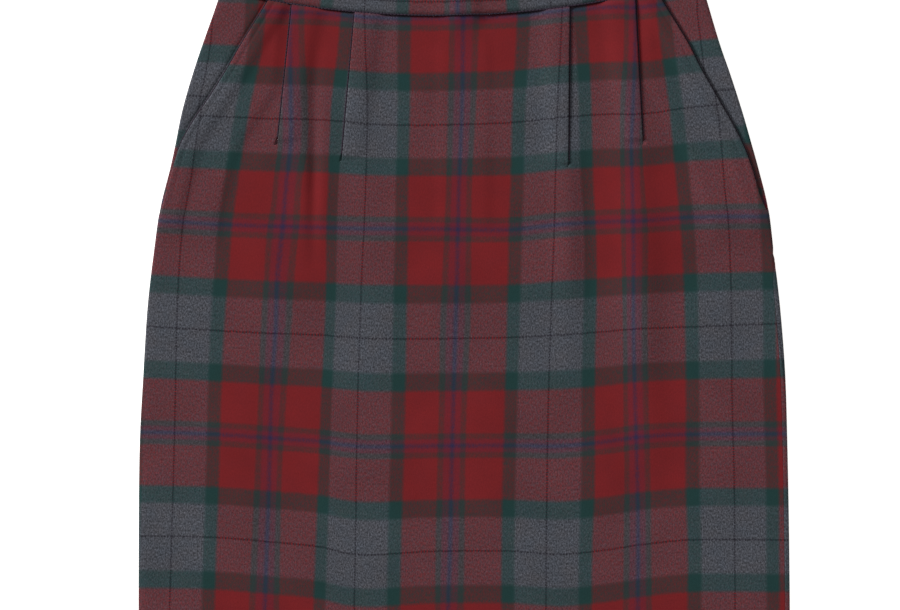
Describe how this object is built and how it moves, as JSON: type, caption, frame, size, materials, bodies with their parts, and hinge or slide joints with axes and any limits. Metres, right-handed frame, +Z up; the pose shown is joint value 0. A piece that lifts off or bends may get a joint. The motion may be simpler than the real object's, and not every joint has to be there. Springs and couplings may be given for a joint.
{
  "type": "checked skirt",
  "caption": "Straight wool skirt in a traditional check with waistband, stitched front tucks and slanted hip pockets, laid flat face up.",
  "frame": {"origin": "centre of the bounding box's bottom face, on the surface that the skirt lies on, under its middle", "axes": "+X across the skirt to the viewer's right as it is seen from its front, +Y from the hem to the waist, +Z up, out of the front"},
  "size_m": [0.4898, 0.6828, 0.0102],
  "materials": {
    "wool": "brushed wool in a red, grey and green check",
    "zip_tape": "woven tape",
    "zip_metal": "satin metal"
  },
  "bodies": {
    "skirt": {"front_panel": "wool", "back_left": "wool", "back_right": "wool", "pocket_side_left": "wool", "pocket_side_right": "wool", "waistband": "wool", "zip_tape": "zip_tape", "zip_slider": "zip_metal"},
    "zip_tab": {"zip_tab": "zip_metal"}
  },
  "joints": [
    {"name": "zip_tab_hinge", "type": "hinge", "parent": "skirt", "child": "zip_tab", "pos_m": [0, 0.30746, 0.00145], "axis": [1, 0, 0], "range_deg": [0, 170]}
  ]
}
